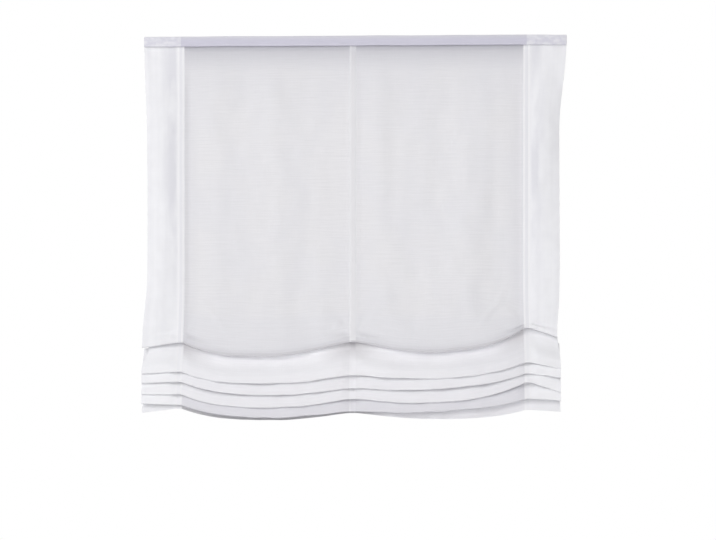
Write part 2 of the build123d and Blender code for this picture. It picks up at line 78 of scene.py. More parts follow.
# Places of the lips, from the first to the last, and of the hem.
CENTRE_UNEVEN_SHARES = (0.2, 0.45, 0.7, 0.65, 0.8, 0.1)
UNEVEN_SHARES = {"left": (0.3, 0.1, 0.0, 0.15, 0.1, -0.35), "right": (-1.5, -1.1, -1.1, -1.35, -0.75, -0.35)}
SAG_SHARES = {"left": (0.86, 0.66, 0.64, 0.72, 0.6, 0.62), "right": (1.05, 0.6, 0.5, 0.73, 0.4, 0.5)}
DROOP_SHARES = {"left": (0.6, 0.25, 0.15, 0.1, -0.1, 0.5), "right": (1.05, 0.75, 0.5, 1.15, 0.2, 0.2)}
FOLD_COUNT = len(CENTRE_UNEVEN_SHARES) - 1
SWAG_POWER_SHARE = 2.5
SWAG_SKEW_SHARE = 1.25

# Wander of the folds between the tapes: waves with heights, reaches and seeds.
RIPPLE_WAVES = ((0.31, 0.9), (0.173, 0.7), (0.094, 0.45), (0.057, 0.2))
RIPPLE_TURN = 1.7
TAPE_HOLD_PARTS = 5
LIP_WANDER = 0.0011
LIP_SEED = 1.3
REACH_WANDER = 0.0024
REACH_SEED = 3.1
HEM_SEED = 9.2

# Rows of the mesh down the panel, and along the lip, back, crease and front of each fold.
PANEL_ROWS = (90, 6, 24)
FIRST_FOLD_ROWS = (10, 4, 6, 16)
FOLD_ROWS = (10, 12, 6, 16)
LAST_FOLD_ROWS = (10, 12, 6, 14)
STRETCH_ROWS = (*PANEL_ROWS, *FIRST_FOLD_ROWS, *FOLD_ROWS * (FOLD_COUNT - 2), *LAST_FOLD_ROWS)
HEM_STRETCH = len(STRETCH_ROWS) - 1
LIP_STRETCHES = [len(PANEL_ROWS) + len(FOLD_ROWS) * fold for fold in range(FOLD_COUNT)]

# The rows from top to hem, each as its stretch and the share along it.
ROWS = [(stretch, step / count) for stretch, count in enumerate(STRETCH_ROWS) for step in range(count)]
ROWS.append((HEM_STRETCH, 1.0))
CLOTH_COLUMNS = 200
SIDE_HEM_COLUMNS = 18
CLOTH_ACROSS = np.linspace(-HALF_WIDTH, HALF_WIDTH, CLOTH_COLUMNS + 1)


def length(text, default):
    """A size in metres that a user may change."""
    return bpy.props.FloatProperty(description=text, default=default, unit="LENGTH", precision=4)


def tint(text, default):
    """A colour that a user may change."""
    return bpy.props.FloatVectorProperty(description=text, default=default, subtype="COLOR", min=0, max=1)


def factor(text, default):
    """A share from nothing to all that a user may change."""
    return bpy.props.FloatProperty(description=text, default=default, subtype="FACTOR", min=0, max=1)


def power(text, default):
    """A lamp's power in watts that a user may change."""
    return bpy.props.FloatProperty(description=text, default=default, unit="POWER")


class BlindFoldSettings(bpy.types.PropertyGroup):
    """Sizes of the folds that the raised cloth hangs in."""

    raised_drop: length("Top edge to hem at a tape", 0.890)
    fold_pitch: length("Step between stacked lips", 0.026)
    hem_show: length("Hem under the last lip", 0.018)
    lip_below_ring: length("Lip under its ring", 0.058)
    first_lip_below_ring: length("First lip under its ring", 0.012)
    lip_radius: length("Rounding of a lip", 0.0024)
    crease_radius: length("Rounding at a ring", 0.0025)
    fold_reach: length("Lip's reach forward", 0.042)
    first_fold_reach: length("First lip's reach forward", 0.022)
    hem_behind_lip: length("Hem behind the lips", 0.006)
    shoulder_radius: length("Panel's bend above the folds", 0.22)
    shoulder_below_ring: length("Bend under the last flat ring", 0.014)
    swag_sag: length("Sag between the tapes", 0.036)
    swag_bulge: length("Extra reach between the tapes", 0.006)
    ear_droop: length("Droop at the side edges", 0.020)
    tape_uneven: length("Unevenness of the tapes' lift", 0.020)


class BlindClothSettings(bpy.types.PropertyGroup):
    """Sizes and colours of the cloth, its hems and its stitching."""

    voile: tint("The sheer cloth", (0.79, 0.781, 0.804))
    voile_shade: tint("Between its slubs", (0.755, 0.747, 0.772))
    # Also used for painted shade over the panel's lowest part, where the folds hang behind it.
    voile_cloud_and_shade: tint("Broad cooler patches", (0.735, 0.732, 0.775))
    doubled: tint("Cloth doubled by the side hems", (0.962, 0.961, 0.99))
    # Whiter for its layers, and also painted lighter where the folds' upper faces catch the light.
    stacked: tint("Folds behind each other", (0.968, 0.962, 0.994))
    stacked_low: tint("Lower folds, away from the light", (0.805, 0.797, 0.845))
    taped: tint("Cloth backed by a tape", (0.85, 0.844, 0.868))
    # Painted shade on the side hems' inner part beside the tapes, and a darker strip between each side tape's
    # seams.
    inner_hem_shade: tint("Hem turned in beside a tape", (0.83, 0.827, 0.872))
    seam: tint("Seams along the tapes", (0.975, 0.972, 0.995))
    # Painted shade line along the panel's folded first lip.
    lip_shade_line: tint("Folded edge of the panel", (0.66, 0.652, 0.68))
    # Painted shade along the bottom hem's lower edge.
    hem_edge: tint("Lower edge of the bottom hem", (0.53, 0.525, 0.545))
    # Painted shade in the pockets under the panel's first lip.
    pocket_shade: tint("Cloth drawn in under the panel", (0.67, 0.655, 0.68))
    head_shade: tint("Just under the head band", (0.61, 0.605, 0.655))
    band: tint("Head band", (0.665, 0.65, 0.755))
    band_shade: tint("Between its threads", (0.60, 0.59, 0.685))
    # Painted light along the head band's upper edge.
    band_top_light: tint("Its upper edge", (0.68, 0.675, 0.72))
    band_hem: tint("Its ends over the side hems", (0.80, 0.795, 0.85))
    tape: tint("Tapes and cords", (0.90, 0.895, 0.92))
    thread: tint("Stitching", (0.90, 0.89, 0.93))
    openness: factor("Light between the threads", 0.08)
    glow: factor("Light from behind", 0.20)
    wrinkle: length("Depth of soft wrinkles", 0.0026)
    lip_roll: length("Roll where a tape lifts the first lip", 0.0045)
    panel_bulge: length("Swell of the panel between the tapes", 0.003)
    lobe_roll: length("Fullness of a fold above its lip", 0.0055)
    first_lobe_roll: length("Fullness close under the panel", 0.006)
    ear_puff: length("Fullness of the side hems", 0.006)
    tape_dip: length("Dip of the cloth beside a tape", 0.0042)
    side_hem: length("Width of the side hems", 0.096)
    bottom_hem: length("Height of the bottom hem", 0.022)
    layer_gap: length("Cloth to a layer behind it", 0.00045)
    band_height: length("Height of the head band", 0.0238)
    band_rise: length("Head band above the cloth", 0.0028)
    band_thick: length("Thickness of the head band", 0.0040)
    stitch_length: length("Length of one stitch", 0.0032)
    stitch_step: length("From one stitch to the next", 0.0044)
    thread_radius: length("Half the thickness of the thread", 0.00025)


class BlindStageSettings(bpy.types.PropertyGroup):
    """Camera, light and floor."""

    distance: length("From the camera to the cloth", 3.2)
    image_width_px: bpy.props.IntProperty(description="Width of the picture", default=716)
    blind_width_px: bpy.props.IntProperty(description="Width of the blind in it", default=420)
    eye_drop: length("Camera under the top edge", 0.555)
    side_step: length("Camera's step to the right", 0.12)
    aim_right: length("Aim right of the middle", 0.0117)
    floor_drop: length("Floor under the top edge", 2.0)
    floor_size: length("Side of the floor", 7.5)
    paper: tint("Floor and backdrop", (1.0, 1.0, 1.0))
    sky_strength: bpy.props.FloatProperty(description="Strength of the even light", default=0.28)
    key_power: power("Key lamp", 164.0)
    back_power: power("Lamp behind", 60.0)
    fill_power: power("Fill lamp", 24.0)


def span_share(x):
    """How far x lies between the centre tape and a side tape: 0 to 1."""
    return min(max((abs(x) - TAPE_HALF) / (TAPE_X - 2 * TAPE_HALF), 0), 1)


def swag_share(x):
    """How far down its swag the cloth hangs at x: 0 on a tape and outside the tapes, 1 midway."""
    return 1 - abs(2 * span_share(x) ** SWAG_SKEW_SHARE - 1) ** SWAG_POWER_SHARE


def ear_share(x):
    """How far out along an ear x lies: 0 at the tape, 1 at the side edge."""
    inner = TAPE_X + TAPE_HALF
    return max((abs(x) - inner) / (HALF_WIDTH - inner), 0)


def tape_freedom(x):
    """0 where a tape holds the cloth, rising to 1 a hand's breadth away."""
    nearest = min(abs(x - place) for place in TAPE_PLACES.values())
    return min(max((nearest - TAPE_HALF) / (TAPE_X / TAPE_HOLD_PARTS), 0), 1)


def fold_shift(folds, x, fold):
    """Downward shift of a fold at x from its even step: swag, ear and tape together."""
    side = "left" if x < 0 else "right"
    along = span_share(x)
    tape = folds.tape_uneven * (CENTRE_UNEVEN_SHARES[fold] * (1 - along) + UNEVEN_SHARES[side][fold] * along)
    swag = folds.swag_sag * SAG_SHARES[side][fold] * swag_share(x)
    return tape + swag + folds.ear_droop * DROOP_SHARES[side][fold] * ear_share(x)


def ripple(x, seed):
    """A smooth wander between about -1 and 1, the same on every run."""
    total = 0
    for turn, (wave, high) in enumerate(RIPPLE_WAVES):
        total += high * math.sin(2 * math.pi * x / wave + seed * (RIPPLE_TURN + turn))
    return total / sum(high for _, high in RIPPLE_WAVES)


def fold_rollers(folds, x):
    """Rollers (y, z, signed radius) that the cloth runs round at x, from its top edge to its hem."""
    cloth_y = TAPE_FRONT - CLOTH_BEFORE_TAPE
    last_lip = folds.raised_drop - folds.hem_show
    lips = [last_lip - folds.fold_pitch * (FOLD_COUNT - 1 - fold) for fold in range(FOLD_COUNT)]
    rings = [lip - folds.lip_below_ring for lip in lips]
    lips[0] = rings[0] + folds.first_lip_below_ring
    front_run = math.hypot(folds.lip_below_ring + folds.fold_pitch, folds.fold_reach)
    back_run = math.hypot(folds.lip_below_ring, folds.fold_reach - 2 * folds.lip_radius)
    last_flat_ring = lips[0] + folds.first_lip_below_ring - front_run - back_run
    shoulder_z = CLOTH_TOP - last_flat_ring - folds.shoulder_below_ring
    rollers = [(cloth_y, CLOTH_TOP, 0.0)]
    rollers.append((cloth_y - folds.shoulder_radius, shoulder_z, -folds.shoulder_radius))
    free = tape_freedom(x)
    for fold in range(FOLD_COUNT):
        shift = fold_shift(folds, x, fold)
        reach = folds.first_fold_reach if fold == 0 else folds.fold_reach
        reach += folds.swag_bulge * swag_share(x) + REACH_WANDER * free * ripple(x, REACH_SEED + fold)
        lip_z = CLOTH_TOP - lips[fold] - shift + LIP_WANDER * free * ripple(x, LIP_SEED + 2 * fold)
        rollers.append((cloth_y - reach + folds.lip_radius, lip_z + folds.lip_radius, folds.lip_radius))
        ring_z = CLOTH_TOP - rings[fold] - shift - folds.crease_radius
        rollers.append((cloth_y - folds.crease_radius, ring_z, -folds.crease_radius))
    hem_z = CLOTH_TOP - folds.raised_drop - fold_shift(folds, x, FOLD_COUNT)
    hem_reach = folds.fold_reach - folds.hem_behind_lip + REACH_WANDER * free * ripple(x, HEM_SEED)
    rollers.append((cloth_y - hem_reach, hem_z, 0.0))
    return rollers


def column_points(folds, x, rows):
    """Places (y, z) and front directions of the cloth's rows at x, on a belt round the rollers."""
    rollers = np.array(fold_rollers(folds, x))
    centres = rollers[:, :2]
    radii = rollers[:, 2:]
    steps = np.diff(centres, axis=0)
    headings = np.arctan2(steps[:, 1], steps[:, 0]) - np.arcsin(np.diff(radii[:, 0]) / np.hypot(*steps.T))
    for turn in range(1, len(headings)):
        way = math.copysign(1, radii[turn, 0])
        while way * (headings[turn] - headings[turn - 1]) < 0:
            headings[turn] += way * 2 * math.pi
    stretches, shares = np.array(rows).T
    run = stretches.astype(int) // 2
    turning = stretches % 2 == 1
    after = headings[np.minimum(run + 1, len(headings) - 1)]
    heading = headings[run] + np.where(turning, (after - headings[run]) * shares, 0)
    fronts = np.stack((np.sin(heading), -np.cos(heading)), axis=1)
    starts = centres[run] + radii[run] * fronts
    ends = centres[run + 1] + radii[run + 1] * fronts
    return starts + (ends - starts) * np.where(turning, 1, shares)[:, None], fronts


def row_steps(folds, rows):
    """Lengths of cloth from each of those rows to the next at the left tape."""
    points = column_points(folds, TAPE_PLACES["left"], rows)[0]
    return np.hypot(*np.diff(points, axis=0).T)


def cloth_run(folds, rows=ROWS):
    """Length of cloth down those rows at the left tape."""
    return float(row_steps(folds, rows).sum())


def lip_run(folds, fold):
    """Length of cloth from the top edge to a fold's lip."""
    lip = LIP_STRETCHES[fold]
    return cloth_run(folds, [row for row in ROWS if row[0] < lip] + [(lip, 0.0)])


class ClothGrid:
    """Where the vertices of a layer of cloth lie across and down it, beside the tapes and past the lips."""

    def __init__(self, folds, columns, rows):
        keys = [stretch + share for stretch, share in ROWS]
        run = np.concatenate(([0], np.cumsum(row_steps(folds, ROWS))))
        drops = np.interp([stretch + share for stretch, share in rows], keys, run)
        self.columns = columns
        self.down, self.across = np.meshgrid(drops, np.array(columns), indexing="ij")
        self.lips = np.interp(LIP_STRETCHES, keys, run)
        self.past_lip = self.down - self.lips[0]
        self.above_second_lip = self.lips[1] - self.down
        self.free = np.array([[tape_freedom(x) for x in columns]])
        self.ear = np.array([[ear_share(x) for x in columns]])
        self.between = np.array([[swag_share(x) for x in columns]])
        from_tapes = [np.abs(self.across - place) for place in TAPE_PLACES.values()]
        self.off_tape = np.min(from_tapes, axis=0) - TAPE_HALF


def rise(value, low, high):
    """0 below low, 1 above high, with a soft rise between."""
    share = np.clip((value - low) / (high - low), 0, 1)
    return share * share * (3 - 2 * share)


def hump(value, middle, half_width):
    """1 at the middle, falling off softly to both sides."""
    return np.exp(-((value - middle) / half_width) ** 2)


def soft_waves(grid, seed, count, widest, narrowest, slant):
    """Random-looking soft wrinkles that run mostly down the cloth, the same on every run."""
    chance = np.random.default_rng(seed)
    total = np.zeros_like(grid.across)
    for _ in range(count):
        wave = chance.uniform(narrowest, widest)
        lean = chance.normal(0, slant)
        phase = chance.uniform(0, 2 * math.pi)
        way = grid.across * math.cos(lean) + grid.down * math.sin(lean)
        total += np.sin(2 * math.pi / wave * way + phase)
    return total / math.sqrt(count)


# Creases that fan out from a tape.
FAN_ABOVE_LIP = 0.022
FAN_FOLDS = 7.5
FAN_LEAN = 0.62
FAN_REACH = 0.055
FAN_START = (0.006, 0.03)
OFF_TAPE = (0, 0.012)
FAN_UP = (-0.01, 0.02)
FAN_DEPTHS = {"left": 0.0016, "centre": 0.0016, "right": 0.0012}
OUTER_FAN_SHARE = 0.3

# Soft creases in the panel: place across, drop, lean from level, half length and depth.
CREASES = (
    (0.245, 0.236, 1.05, 0.028, 0.0016),
    (-0.036, 0.682, 0.95, 0.016, 0.0014),
    (0.345, 0.072, 0.10, 0.030, 0.0012),
    (0.352, 0.092, -0.08, 0.026, -0.0010),
    (-0.150, 0.640, 0.55, 0.040, 0.0010),
    (0.180, 0.610, 2.50, 0.045, 0.0012),
    (0.330, 0.640, 0.90, 0.050, 0.0032),
    (-0.330, 0.655, 2.35, 0.040, 0.0014),
)
CREASE_HALF_WIDTH = 0.006


def tape_fans(folds, grid):
    """Creases that fan up and out from where each tape's ring lifts the first fold."""
    total = np.zeros_like(grid.across)
    for side, place in TAPE_PLACES.items():
        lower = fold_shift(folds, place, 0) - fold_shift(folds, TAPE_PLACES["left"], 0)
        up = lower - FAN_ABOVE_LIP - grid.past_lip
        for way in (-1, 1):
            out = (grid.across - place) * way - TAPE_HALF
            away = np.hypot(out, up) + TINY
            angle = np.arctan2(up, np.maximum(out, TINY))
            fan = np.cos(FAN_FOLDS * (angle - FAN_LEAN)) * np.exp(-away / FAN_REACH)
            fan *= rise(away, *FAN_START) * rise(out, *OFF_TAPE) * rise(up, *FAN_UP)
            outside = side != "centre" and way == math.copysign(1, place)
            total += FAN_DEPTHS[side] * (OUTER_FAN_SHARE if outside else 1) * fan
    return total


def panel_creases(grid):
    """The soft creases of the table, as heights over the panel."""
    total = np.zeros_like(grid.across)
    for place, drop, lean, reach, depth in CREASES:
        along = (grid.across - place) * math.cos(lean) - (grid.down - drop) * math.sin(lean)
        beside = (grid.across - place) * math.sin(lean) + (grid.down - drop) * math.cos(lean)
        total += depth * hump(along, 0, reach) * hump(beside, 0, CREASE_HALF_WIDTH)
    return total


# Wrinkles: seed, count, widest, narrowest and slant.
BROAD_WRINKLES = (11, 14, 0.30, 0.11, 0.16)
FINE_WRINKLES = (5, 16, 0.09, 0.035, 0.5)
FOLD_WRINKLES = (23, 14, 0.12, 0.03, 0.9)
FINE_WRINKLE_SHARE = 0.3
FOLD_WRINKLE = 0.0006

# Starts and ends of the panel's forms, down the cloth, past its lip or away from a tape.
BELOW_BAND = (0.03, 0.16)
WRINKLED_END = (-0.09, 0)
CREASED_END = (-0.012, 0)
DIP_START = (0, 0.01)
DIP_END = (0.01, 0.06)
CENTRE_DIP_SHARE = 0.35
SWELL_START = (0.08, 0.5)
SWELL_END = (0.008, 0.024)
EAR_CURL = 0.0035
EAR_CURL_WAVE = 0.62
EAR_CURL_PHASES = (0.6, 2.4)

# The roll above the first lip: place and half width of its ridge and groove.
LIP_RIDGE = (0.011, 0.0055)
LIP_GROOVE = (0.024, 0.008)
LIP_GROOVE_SHARE = 0.7
ROLL_BY_TAPE = (0.012, 0.045)


def panel_relief(folds, cloth, grid):
    """Relief of the panel above the first lip: wrinkles, swells, creases and the rolled lip."""
    below_band = rise(grid.down, *BELOW_BAND)
    wrinkled = below_band * (1 - rise(grid.past_lip, *WRINKLED_END))
    creased = below_band * (1 - rise(grid.past_lip, *CREASED_END))
    wrinkles = cloth.wrinkle * soft_waves(grid, *BROAD_WRINKLES)
    wrinkles += cloth.wrinkle * FINE_WRINKLE_SHARE * soft_waves(grid, *FINE_WRINKLES)
    dip = cloth.tape_dip * np.where(np.abs(grid.across) < TAPE_X / 2, CENTRE_DIP_SHARE, 1) * (grid.ear == 0)
    dip = dip * rise(grid.off_tape, *DIP_START) * (1 - rise(grid.off_tape, *DIP_END))
    relief = wrinkled * (grid.free * wrinkles - dip + cloth.ear_puff * np.sin(math.pi * grid.ear))
    swell = rise(grid.down, *SWELL_START) * (1 - rise(grid.past_lip, *SWELL_END))
    relief += cloth.panel_bulge * grid.free * grid.between * swell
    curl = np.sin(2 * math.pi * grid.down / EAR_CURL_WAVE + np.where(grid.across < 0, *EAR_CURL_PHASES))
    relief += EAR_CURL * grid.ear ** 2 * curl * wrinkled
    roll = hump(-grid.past_lip, *LIP_RIDGE) - LIP_GROOVE_SHARE * hump(-grid.past_lip, *LIP_GROOVE)
    roll = roll * hump(grid.off_tape, *ROLL_BY_TAPE) * rise(grid.off_tape, *OFF_TAPE)
    return relief + creased * (tape_fans(folds, grid) + panel_creases(grid) + cloth.lip_roll * roll)


# Starts and ends of the stacked folds' forms, past or above a lip or away from a tape.
FOLDS_START = (0, 0.05)
FULL_ROOM = 0.008
LEAST_FULL_SHARE = 0.2
FULL_OFF_TAPE = (-0.005, 0.02)
LOBE_HEIGHT = 0.017
LOBE_FALLS = (0.011, 0.018)
LOBE_START = (-0.006, 0.004)
FIRST_LOBE = (0.062, 0.022)
FIRST_LOBE_OFF_TAPE = (0, 0.06)


def fold_relief(folds, cloth, grid):
    """Relief of the stacked folds: fine wrinkles, and full lobes above their lips."""
    in_folds = rise(grid.past_lip, *FOLDS_START)
    relief = FOLD_WRINKLE * in_folds * grid.free * soft_waves(grid, *FOLD_WRINKLES)
    for fold in range(1, FOLD_COUNT):
        above_lip = grid.lips[fold] - grid.down
        closer = [fold_shift(folds, x, fold) - fold_shift(folds, x, fold - 1) for x in grid.columns]
        step = folds.fold_pitch + np.array(closer)[None, :]
        room = folds.fold_reach * step / (folds.lip_below_ring + step) - 2 * folds.lip_radius
        full = cloth.lobe_roll * np.clip(room / FULL_ROOM, LEAST_FULL_SHARE, 1)
        full = full * rise(grid.off_tape, *FULL_OFF_TAPE)
        fall = np.where(above_lip < LOBE_HEIGHT, *LOBE_FALLS)
        relief += full * hump(above_lip, LOBE_HEIGHT, fall) * rise(above_lip, *LOBE_START)
    top = hump(grid.above_second_lip, *FIRST_LOBE) * rise(grid.off_tape, *FIRST_LOBE_OFF_TAPE)
    return relief + cloth.first_lobe_roll * top


# How far the side edges draw in halfway down, at the first lip and in the folds, and out at the top.
EDGE_IN = {"left": (0.0067, -0.0018, 0.0002), "right": (0.0103, 0.0183, 0.0118)}
TOP_OUT = {"left": 0.0003, "right": 0.0062}
LOBE_TAPER = {"left": 0.013, "right": 0.004}
EDGE_TO_MIDDLE = (0.0, 0.24)
EDGE_FROM_TOP = (0.02, 0.2)
EDGE_TO_LIP = (-0.16, 0)
EDGE_TO_STACK = (0, 0.06)
TAPERED_LOBE = (0.062, 0.028)


def edge_moves(grid):
    """Moves across the cloth that draw its side edges in, and out at the top."""
    moves = np.zeros_like(grid.across)
    for side, sign in (("left", -1), ("right", 1)):
        middle, lip, stack = EDGE_IN[side]
        pull = middle * rise(grid.down, *EDGE_TO_MIDDLE)
        pull -= TOP_OUT[side] * (1 - rise(grid.down, *EDGE_FROM_TOP))
        pull += (lip - middle) * rise(grid.past_lip, *EDGE_TO_LIP)
        pull += (stack - lip) * rise(grid.past_lip, *EDGE_TO_STACK)
        pull += LOBE_TAPER[side] * hump(grid.above_second_lip, *TAPERED_LOBE)
        moves += np.where(grid.across * sign > 0, -sign * pull * grid.ear, 0)
    return moves


def cloth_places(folds, cloth, columns, rows, offset):
    """Every vertex of a layer of cloth as (rows, columns, xyz), with its arc length from the top edge."""
    points = np.empty((len(rows), len(columns), 2))
    fronts = np.empty_like(points)
    for column, x in enumerate(columns):
        points[:, column], fronts[:, column] = column_points(folds, x, rows)
    grid = ClothGrid(folds, columns, rows)
    relief = panel_relief(folds, cloth, grid) + fold_relief(folds, cloth, grid)
    flat = points + fronts * (relief + offset)[..., None]
    return np.stack((grid.across + edge_moves(grid), flat[..., 0], flat[..., 1]), axis=-1), grid.down


def only(obj):
    """Makes obj the only selected object and the active one."""
    bpy.ops.object.select_all(action="DESELECT")
    obj.select_set(True)
    bpy.context.view_layer.objects.active = obj


def added(add, name, **settings):
    """The object that an operator adds, under its name."""
    bpy.ops.object.select_all(action="DESELECT")
    add(**settings)
    obj = bpy.context.object
    obj.name = name
    return obj


def folded_grid(name, columns_at, places, down):
    """A grid primitive folded into its places, with the lengths across and down the cloth as UVs."""
    rows, columns = down.shape
    cells = {"x_subdivisions": columns - 1, "y_subdivisions": rows - 1}
    obj = added(bpy.ops.mesh.primitive_grid_add, name, **cells, size=1)
    obj.data.name = name
    flat = np.empty(len(obj.data.vertices) * 3)
    obj.data.vertices.foreach_get("co", flat)
    flat = flat.reshape(-1, 3)
    column = np.rint((flat[:, 0] + 0.5) * (columns - 1)).astype(int)
    row = np.rint((0.5 - flat[:, 1]) * (rows - 1)).astype(int)
    obj.data.vertices.foreach_set("co", places[row, column].ravel())
    corner = np.empty(len(obj.data.loops), int)
    obj.data.loops.foreach_get("vertex_index", corner)
    across = np.asarray(columns_at)[column]
    uv = np.stack((across[corner], -down[row, column][corner]), axis=-1)
    obj.data.uv_layers.active.data.foreach_set("uv", uv.ravel())
    obj.data.update()
    only(obj)
    bpy.ops.object.shade_smooth()
    return obj


class ShaderTree:
    """A node tree, with short ways to add nodes and join them."""

    def __init__(self, tree):
        self.nodes = tree.nodes
        self.links = tree.links

    def feed(self, socket, value):
        """Joins a socket to another, or sets it to a number, a vector or a colour."""
        if isinstance(value, bpy.types.NodeSocket):
            self.links.new(value, socket)
        elif socket.type == "RGBA":
            socket.default_value = (*value, 1)
        else:
            socket.default_value = value

    def node(self, kind, inputs=(), **settings):
        """A new node with its settings made and its inputs fed."""
        node = self.nodes.new(kind)
        for name, value in settings.items():
            setattr(node, name, value)
        for name, value in dict(inputs).items():
            self.feed(node.inputs[name], value)
        return node

    def show(self, shader):
        """Joins a shader to the material's output."""
        self.feed(self.nodes["Material Output"].inputs["Surface"], shader)

    def object_place(self):
        """Coordinates of the object itself."""
        return self.node("ShaderNodeTexCoord").outputs["Object"]

    def split(self, vector):
        """The three parts of a vector."""
        return self.node("ShaderNodeSeparateXYZ", {"Vector": vector}).outputs

    def streaks(self, source, scale, detail):
        """A noise stretched by its scale, from 0 to 1."""
        stretched = self.node("ShaderNodeMapping", {"Vector": source, "Scale": scale}).outputs["Vector"]
        noise = self.node("ShaderNodeTexNoise", {"Vector": stretched, "Scale": 1, "Detail": detail})
        return noise.outputs["Fac"]

    def math(self, operation, first, *others):
        """One operation over sockets or numbers, in turn."""
        for value in others or (0,):
            first = self.node("ShaderNodeMath", {0: first, 1: value}, operation=operation).outputs[0]
        return first

    add = partialmethod(math, "ADD")
    times = partialmethod(math, "MULTIPLY")
    largest = partialmethod(math, "MAXIMUM")

    def ramp(self, value, shape, base=0.0, unit=1.0):
        """A value mapped by a ramp and held inside it, with the ramp's ends counted from a base."""
        low, high, first, last = shape
        node = self.node("ShaderNodeMapRange", {"Value": value, "To Min": first, "To Max": last})
        node.inputs["From Min"].default_value = base + low * unit
        node.inputs["From Max"].default_value = base + high * unit
        return node.outputs["Result"]

    def away(self, value, place):
        """How far a value lies from a place."""
        return self.math("ABSOLUTE", self.math("SUBTRACT", value, place))

    def strip(self, value, place, half_width):
        """1 along a narrow strip at a place, 0 elsewhere."""
        return self.ramp(self.away(value, place), STRIP_EDGE, half_width)

    def blend(self, share, low, high):
        """A colour between two, by a share."""
        inputs = {"Factor": share, "A": low, "B": high}
        return self.node("ShaderNodeMix", inputs, data_type="RGBA").outputs["Result"]

    def bump(self, height, strength, distance):
        """A bump normal from a height."""
        inputs = {"Height": height, "Strength": strength, "Distance": distance}
        return self.node("ShaderNodeBump", inputs).outputs["Normal"]

    def finish(self, inputs):
        """A surface shader with its inputs fed."""
        return self.node("ShaderNodeBsdfPrincipled", inputs).outputs["BSDF"]

    def mix(self, share, first, second):
        """A shader between two, by a share."""
        return self.node("ShaderNodeMixShader", {0: share, 1: first, 2: second}).outputs[0]


def new_material(name):
    """A material whose node tree is empty but for its output, with that tree."""
    material = bpy.data.materials.new(name)
    material.use_nodes = True
    nodes = material.node_tree.nodes
    nodes.remove(nodes["Principled BSDF"])
    return material, ShaderTree(material.node_tree)


# Noises of the cloth: their stretch each way and their detail.
SLUB = ((24, 760, 1), 2)
WEFT = ((8, 300, 1), 2)
WARP = ((800, 12, 1), 2)
CLOUD = ((9, 6, 1), 3)
HEM_STRIPES = ((70, 2, 1), 2)
HEM_BLOTCHES = ((40, 24, 1), 3)
HEM_PATCHES = ((26, 8, 1), 3)
SLUB_SHARE = 0.55
WEFT_SHARE = 0.45
WARP_SHARE = 0.35
MOTTLE_SHARE = 0.5

# Ramps of the cloth's colours: start, end, share at the start and share at the end.
STRIP_EDGE = (0, 0.0008, 1, 0)
DOUBLED = (-0.0018, 0.0018, 0, 1)
BACKED_BY_TAPE = (-0.0012, 0.0018, 1, 0)
TAPE_LIT = (1, 6, 0.4, 1)
HEAD_NEAR = (1, 3.5, 0.75, 0)
HEAD_FAR = (2, 9, 0.22, 0)
BESIDE_TAPE = (-0.045, -0.012, 0, 0.3)
PALE_THREAD = (0.28, 0.72, 0, 1)
CLOUDED = (0.38, 0.66, 0, 0.5)
FOLDS_BEHIND = (-0.085, -0.06, 0, 0.55)
STACKED = (0.004, 0.006, 0, 1)
BETWEEN_HEMS = (0, 1, 1, 0.1)
POCKET_DOWN = (0.052, 0.085, 0.9, 0)
POCKET_ACROSS = (0.012, 0.085, 1, 0)
LOW_FROM_SECOND = (-0.02, 0.03, 0, 0.15)
LOW_FROM_FOURTH = (0.03, 0.06, 0, 0.68)
LOW_AT_RIGHT = (0.2, 0.36, 0, 0.3)
ABOVE_HEM = (0.03, 0.09, 1, 0)
MOTTLED = (0.36, 0.64, 0.78, 1)
HEM_SHADE_START = (0.008, 0.014, 0, 1)
HEM_SHADE_END = (0.026, 0.052, 1, 0)
HEM_SHADE_DOWN = (0.42, 0.62, 1, 0.1)
PATCHED = (0.38, 0.62, 0.1, 1)
BETWEEN_SEAMS = (0.003, 0.0045, 0.55, 0)
SEAMS_IN_STACK = (0, 1, 1, 0.3)
HEM_RIM = (-0.0095, -0.004, 0, 0.9)
HEM_RIM_ACROSS = (0.02, 0.09, 1, 0.2)

# Narrow strips: how far past its base each lies, and half its width.
LIP_EDGE_PAST = 0.0015
LIP_EDGE_HALF = 0.003
LIP_EDGE_SHARE = 0.8
SIDE_SEAM_OUT = 0.0055
SIDE_SEAM_HALF = 0.0013
MIDDLE_SEAM = (-0.006, 0.0018)
MIDDLE_SEAM_SHARE = 0.35

# The weave's surface, and how far its threads and a backing open or close it.
WEAVE = {"Roughness": 0.85, "Sheen Weight": 0.15}
VOILE_WEAVE = {**WEAVE, "Sheen Roughness": 0.4, "Specular IOR Level": 0.25}
WEAVE_BUMP = (0.22, 0.0006)
PALE_OPEN = -0.06
CLOUD_OPEN = 0.08
WARP_OPEN = 0.04
MEAN_OPEN = 0.03
BACKED_OPEN = -0.75
LINED_GLOW_PARTS = 4


